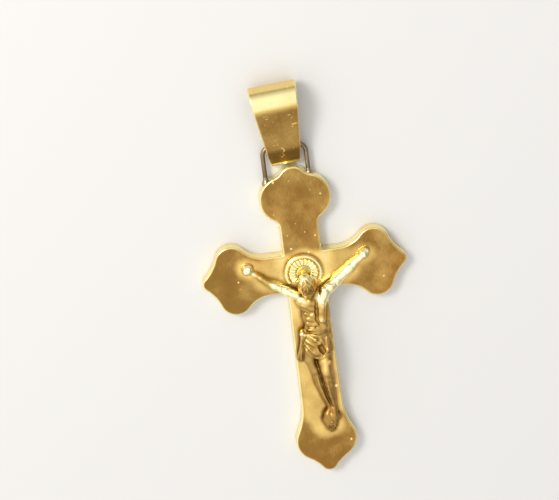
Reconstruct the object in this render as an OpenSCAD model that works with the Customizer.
// Crucifix pendant lying on its back: a flat cross with lobed, pointed ends and a soldered wire loop,
// a cast figure with a halo on its front, and a folded strip bail that swings on the loop.
// Millimetres. X runs across the arms, Y towards the bail, Z out of the front. The back lies on Z = 0,
// and the origin is below the middle of the whole pendant, bail included.
// Inside the modules, Y is measured from the middle of the crossing, until place() shifts it.

/* [Cross plate] */
// Thickness of the plate
plate_t = 1.35; // [1.1:0.05:1.4]
// From the middle of the crossing to the tip of each side arm
arm_reach = 10.3; // [10:0.1:12]
// From the middle of the crossing down to the lower tip
foot_reach = 22.15; // [21.5:0.1:24]
// From the middle of the crossing up to the top of the plate
head_reach = 11.05; // [10.8:0.05:11.1]
// Half the width of the side arms at their narrowest
arm_neck = 2.03; // [1.7:0.01:2.3]
// Half the width of the upright above the arms
upright_top = 1.93; // [1.7:0.01:2.2]
// Half the width of the upright where the lower end begins to spread
upright_foot = 2.12; // [1.9:0.01:2.3]

/* [Wire loop] */
// Thickness of the wire
wire_d = 0.45; // [0.35:0.05:0.5]
// Distance between the centre lines of the two legs
loop_w = 4.3; // [4.2:0.05:5]
// From the middle of the crossing to the centre line of the top bar, which the bail swings on
bar_y = 13.2; // [13.1:0.05:14]
// Height of the wire's centre line above the back of the plate
bar_z = 0.73; // [0.7:0.01:0.8]
// Inside the bends, from their centre to the wire's centre line
loop_bend = 0.9; // [0.6:0.05:1]
// Offset of the hand soldered loop to the side
loop_shift = -0.48; // [-0.6:0.02:0.6]

/* [Bail] */
// Thickness of the strip
strip_t = 0.38; // [0.3:0.02:0.4]
// Outer radius of the fold, which is half the bail's depth
fold_r = 1.65; // [1.5:0.05:2]
// From the top bar to the centre of the fold
fold_y = 4.85; // [4.5:0.05:6]
// From the top bar to the soldered lower end
bail_tail = 1.92; // [1.6:0.02:1.95]
// Slope of the front leaf towards the back leaf, in degrees
leaf_slope = 17; // [15:0.5:20]
// Width at the soldered lower end
tail_w = 3; // [2.4:0.1:3.1]
// Width at the fold
top_w = 4.8; // [4.4:0.1:5.2]
// Turn of the bail on the loop, seen from the front, in degrees
bail_turn = 3.5; // [0:0.5:4]
// Offset of the bail from the middle of the pendant at the top bar
bail_shift = -0.54; // [-0.6:0.02:-0.4]

/* [Halo] */
// Radius of the halo
halo_r = 1.93; // [1.7:0.01:1.95]
// Thickness of the halo's ground
halo_t = 0.35; // [0.3:0.01:0.4]
// Height of the raised rim above the ground
halo_rim_h = 0.2; // [0.1:0.01:0.25]
// Width of the raised rim
halo_rim_w = 0.42; // [0.3:0.01:0.45]
// Number of rays in the full ring
ray_count = 20; // [12:1:24]

/* [Figure] */
// Gap between the plate and the castings that are pinned to it
seat_gap = 0.03; // [0.02:0.01:0.05]
// Facets around the figure's rounded forms
figure_fn = 22; // [16:2:26]

/* [Hidden] */
$fn = 48;
// How far a cutting profile runs past what it cuts
tiny = 0.01;
// Side of the blocks that cut away everything on one side of a plane
big = 60;

// Seat of the castings, on the front of the plate
front_z = plate_t + seat_gap;

// Lobes of the ends: radius, distance of the centre from the tip, and from the end's middle line
side_lobe = [1.68, 3.15, 1.95];
foot_lobe = [2.2, 3.5, 0.95];
head_lobe = [2.4, 3.3, 1.15];
// Rounded tips: radius of the nose
side_nose = 0.75;
foot_nose = 0.9;
head_nose = 1.5;
// Hollow curves: from the neck to the lobe, and from the lobe to the nose
side_hollows = [3, 4.5];
foot_hollows = [7, 4.5];
head_hollows = [0.9, 1.2];
// Overlap that lets the hollow curves cross the round ones instead of only touching them
bite = 0.001;

// Lower ends of the loop's legs, well inside the plate
leg_foot_y = 8.8;

// Bail, measured from the axis of the top bar
back_z = -bar_z;
fold_z = back_z + fold_r;
crease_y = -0.4;
crease_z = fold_z + fold_r / cos(leaf_slope) - (fold_y - crease_y) * tan(leaf_slope);
tail_h = 0.75;
tail_z = back_z + tail_h;
solder_end = -1.35;
half_top = top_w / 2;
half_tail = tail_w / 2;
// How much the back leaf is drawn in at each edge
back_taper = 0.14;
// Reach of the leaves' points into the fold
leaf_point = 0.1;
far_y = fold_y + fold_r;

// The whole pendant's length, and the shift that brings the origin to its middle
bail_top = bar_y + far_y * cos(bail_turn) + half_top * sin(bail_turn);
mid_y = (bail_top - foot_reach) / 2;

// Halo and the straight cut that clears the shoulders
halo_x = -0.16;
halo_y = 0.04;
halo_cut = -0.82;
// Rays: from the middle of the halo to their inner and outer ends, width, height above the ground
ray_in = 0.88;
ray_out = 1.42;
ray_w = 0.22;
ray_h = 0.16;

module place() { translate([0, -mid_y, 0]) children(); }

// Centre of a circle of radius c that touches two circles from outside; s picks the side
function touching(p, a, q, b, c, s) =
    let (v = q - p, d = norm(v), u = v / d,
         along = (pow(a + c, 2) - pow(b + c, 2) + d * d) / (2 * d),
         off = s * sqrt(pow(a + c, 2) - along * along))
    p + along * u + off * [-u.y, u.x];

// Upper half of one end of the cross, with its tip at x = 0 and the middle line along X. It begins at
// the crossing, far to the left, with the half width root, and narrows or widens evenly to its neck.
module half_end(reach, root, neck, lobe, nose, hollows) {
    lobe_c = [-lobe[1], lobe[2]];
    nose_c = [-nose, 0];
    tip_c = touching(lobe_c, lobe[0] - bite, nose_c, nose - bite, hollows[1], 1);
    run = sqrt(pow(lobe[0] + hollows[0] - bite, 2) - pow(neck + hollows[0] - lobe[2], 2));
    neck_c = [lobe_c.x - run, neck + hollows[0]];
    intersection() {
        union() {
            translate(lobe_c) circle(r = lobe[0]);
            translate(nose_c) circle(r = nose);
            difference() {
                polygon([[-reach, 0], [-reach, root], [neck_c.x, neck], lobe_c, tip_c, nose_c]);
                translate(tip_c) circle(r = hollows[1], $fn = 96);
            }
            difference() {
                polygon([[neck_c.x, 0], neck_c, lobe_c, [lobe_c.x, 0]]);
                translate(neck_c) circle(r = hollows[0], $fn = 96);
            }
        }
        translate([-big / 2, 0]) square(big);
    }
}

module cross_end(reach, root, neck, lobe, nose, hollows) {
    translate([reach, 0]) {
        half_end(reach, root, neck, lobe, nose, hollows);
        mirror([0, 1]) half_end(reach, root, neck, lobe, nose, hollows);
    }
}

module cross_outline() {
    for (side = [0, 1])
        mirror([side, 0]) cross_end(arm_reach, arm_neck, arm_neck, side_lobe, side_nose, side_hollows);
    rotate(90) cross_end(head_reach, upright_top, upright_top, head_lobe, head_nose, head_hollows);
    rotate(-90) cross_end(foot_reach, upright_top, upright_foot, foot_lobe, foot_nose, foot_hollows);
}

// One leg of the loop with its bend, from the foot in the plate up to the top bar
module loop_leg() {
    leg_top = bar_y - loop_bend;
    translate([loop_w / 2, leg_foot_y, bar_z])
        rotate([-90, 0, 0]) cylinder(d = wire_d, h = leg_top - leg_foot_y);
    translate([loop_w / 2 - loop_bend, leg_top, bar_z])
        rotate_extrude(angle = 90) translate([loop_bend, 0]) circle(d = wire_d);
}

module wire_loop() {
    straight = loop_w - 2 * loop_bend;
    translate([loop_shift, 0, 0]) {
        loop_leg();
        mirror([1, 0, 0]) loop_leg();
        translate([-straight / 2, bar_y, bar_z]) rotate([0, 90, 0]) cylinder(d = wire_d, h = straight);
    }
}

module cross() {
    color("goldenrod") place() {
        linear_extrude(plate_t) cross_outline();
        wire_loop();
    }
}

// One ray: a short raised bar on the halo's ground
module ray() {
    translate([0, (ray_in + ray_out) / 2, 0])
        linear_extrude(halo_t + ray_h) square([ray_w, ray_out - ray_in], center = true);
}

module halo() {
    color("gold") place() translate([halo_x, halo_y, front_z]) intersection() {
        union() {
            cylinder(r = halo_r, h = halo_t);
            rotate_extrude() translate([halo_r - halo_rim_w, 0]) square([halo_rim_w, halo_t + halo_rim_h]);
            for (i = [0 : ray_count - 1]) rotate(i * 360 / ray_count) ray();
        }
        translate([-big / 2, halo_cut - halo_y, 0]) cube(big);
    }
}

// Rounded limb between two balls, each given as [x, y, z, radius]
module limb(a, b) {
    hull() {
        translate([a[0], a[1], a[2]]) sphere(r = a[3]);
        translate([b[0], b[1], b[2]]) sphere(r = b[3]);
    }
}

// Chain of limbs through a short table of balls
module limbs(balls) {
    for (i = [0 : len(balls) - 2]) limb(balls[i], balls[i + 1]);
}

// Rounded mass through three or more balls
module mass(balls) {
    hull() for (b = balls) translate([b[0], b[1], b[2]]) sphere(r = b[3]);
}

// Figure: each row is one ball, [across, along, height, radius]
viewer_left_arm = [[-1.15, -2.0, 2.1, 0.52], [-2.6, -1.16, 2.0, 0.43], [-3.85, -0.46, 1.8, 0.34],
                   [-5.3, 0.84, 1.68, 0.28], [-5.62, 1.08, 1.75, 0.5]];
viewer_right_arm = [[1.65, -2.1, 2.2, 0.53], [3.05, -1.1, 2.06, 0.46], [4.5, -0.02, 1.88, 0.43],
                    [5.55, 0.8, 1.74, 0.34], [6.12, 1.24, 1.75, 0.42]];
head = [[-0.14, -0.42, 3.02, 0.72], [-0.02, -1.05, 2.98, 0.62]];
beard = [[-0.02, -1.15, 3.0, 0.5], [0.15, -2.1, 2.95, 0.3]];
neck = [[0.0, -1.2, 2.6, 0.5], [0.2, -2.2, 2.1, 0.55]];
hair = [[-0.65, -0.7, 2.7, 0.42], [-0.6, -1.75, 2.55, 0.36], [0.55, -0.9, 2.7, 0.4], [0.75, -1.8, 2.5, 0.34]];
chest = [[-0.75, -2.55, 2.1, 0.8], [1.3, -2.7, 2.15, 0.8], [-0.25, -4.0, 2.05, 0.75],
         [1.15, -4.2, 2.05, 0.75]];
belly = [[-0.2, -4.2, 1.95, 0.65], [1.1, -4.4, 1.95, 0.65], [-0.2, -6.1, 1.95, 0.62],
         [1.15, -6.3, 1.95, 0.62]];
hips = [[-0.35, -6.6, 2.0, 0.72], [1.2, -6.8, 2.0, 0.72], [-0.3, -8.2, 2.2, 0.75], [1.05, -8.4, 2.25, 0.8]];
cloth_end = [[-1.0, -6.5, 2.15, 0.3], [-1.15, -7.4, 1.9, 0.32], [-1.45, -9.1, 1.75, 0.3],
             [-0.95, -9.2, 1.8, 0.34]];
left_leg = [[-0.3, -8.0, 2.1, 0.72], [-0.7, -9.2, 2.1, 0.54], [-0.25, -10.5, 2.12, 0.44],
            [0.02, -12.0, 1.9, 0.46], [0.76, -14.8, 1.75, 0.26]];
right_leg = [[0.95, -8.1, 2.15, 0.8], [0.87, -10.2, 2.38, 0.7], [0.99, -12.0, 2.1, 0.57],
             [1.2, -14.6, 1.86, 0.32]];
left_foot = [[0.76, -14.8, 1.75, 0.26], [0.25, -16.1, 1.65, 0.42], [0.5, -17.15, 1.62, 0.34]];
right_foot = [[1.2, -14.6, 1.86, 0.32], [1.15, -16.0, 1.8, 0.44], [0.75, -17.2, 1.68, 0.34]];

module figure_forms() {
    for (chain = [viewer_left_arm, viewer_right_arm, head, beard, neck, left_leg, right_leg, left_foot,
                  right_foot])
        limbs(chain);
    for (lump = [chest, belly, hips, cloth_end, hair]) mass(lump);
}

// The figure stands on the plate with a flat back
module corpus() {
    color("gold") place() intersection() {
        figure_forms($fn = figure_fn);
        translate([-big / 2, -big / 2, front_z]) cube(big);
    }
}

// Where the fold turns into the front leaf, at a distance t inside the sheet
function leaf_top(t) = [fold_y - (fold_r - t) * sin(leaf_slope), fold_z + (fold_r - t) * cos(leaf_slope)];

// Side profile of the two leaves and of their soldered end, in one U-shaped outline. Both leaves reach
// into the fold with a point, so that they join it at every size.
module leaf_profile() {
    fall = atan((crease_z - tail_z) / (crease_y + bail_tail));
    inward = strip_t / cos((fall - leaf_slope) / 2);
    turn = (fall + leaf_slope) / 2;
    crease_in = [crease_y + inward * sin(turn), crease_z - inward * cos(turn)];
    polygon([[fold_y, back_z], [-bail_tail, back_z], [-bail_tail, tail_z], [crease_y, crease_z],
             leaf_top(0), leaf_top(strip_t / 2) + leaf_point * [cos(leaf_slope), sin(leaf_slope)],
             leaf_top(strip_t), crease_in,
             [solder_end, crease_in.y + tan(fall) * (solder_end - crease_in.x)],
             [solder_end, back_z + strip_t], [fold_y, back_z + strip_t],
             [fold_y + leaf_point, back_z + strip_t / 2]]);
}

// The strip tapers to its lower end, seen from the front, and a little to its back, seen from the end
module bail_taper() {
    translate([0, 0, back_z - tiny]) linear_extrude(big)
        polygon([[-half_tail, -bail_tail], [half_tail, -bail_tail], [half_top, far_y], [-half_top, far_y]]);
}

module bail_depth_taper() {
    rotate([-90, 0, 0]) translate([0, 0, -bail_tail - tiny]) linear_extrude(far_y + bail_tail + 2 * tiny)
        polygon([[-half_top + back_taper, -back_z + tiny], [half_top - back_taper, -back_z + tiny],
                 [half_top, -fold_z], [half_top, -back_z - 2 * fold_r - tiny],
                 [-half_top, -back_z - 2 * fold_r - tiny], [-half_top, -fold_z]]);
}

module bail() {
    color("goldenrod") place() translate([bail_shift, bar_y, bar_z]) rotate(bail_turn) intersection() {
        translate([-half_top, 0, 0]) rotate([90, 0, 90]) {
            linear_extrude(top_w) leaf_profile();
            translate([fold_y, fold_z]) rotate(-90)
                rotate_extrude(angle = 180 + leaf_slope)
                    translate([fold_r - strip_t, 0]) square([strip_t, top_w]);
        }
        bail_taper();
        bail_depth_taper();
    }
}

cross();
halo();
corpus();
bail();
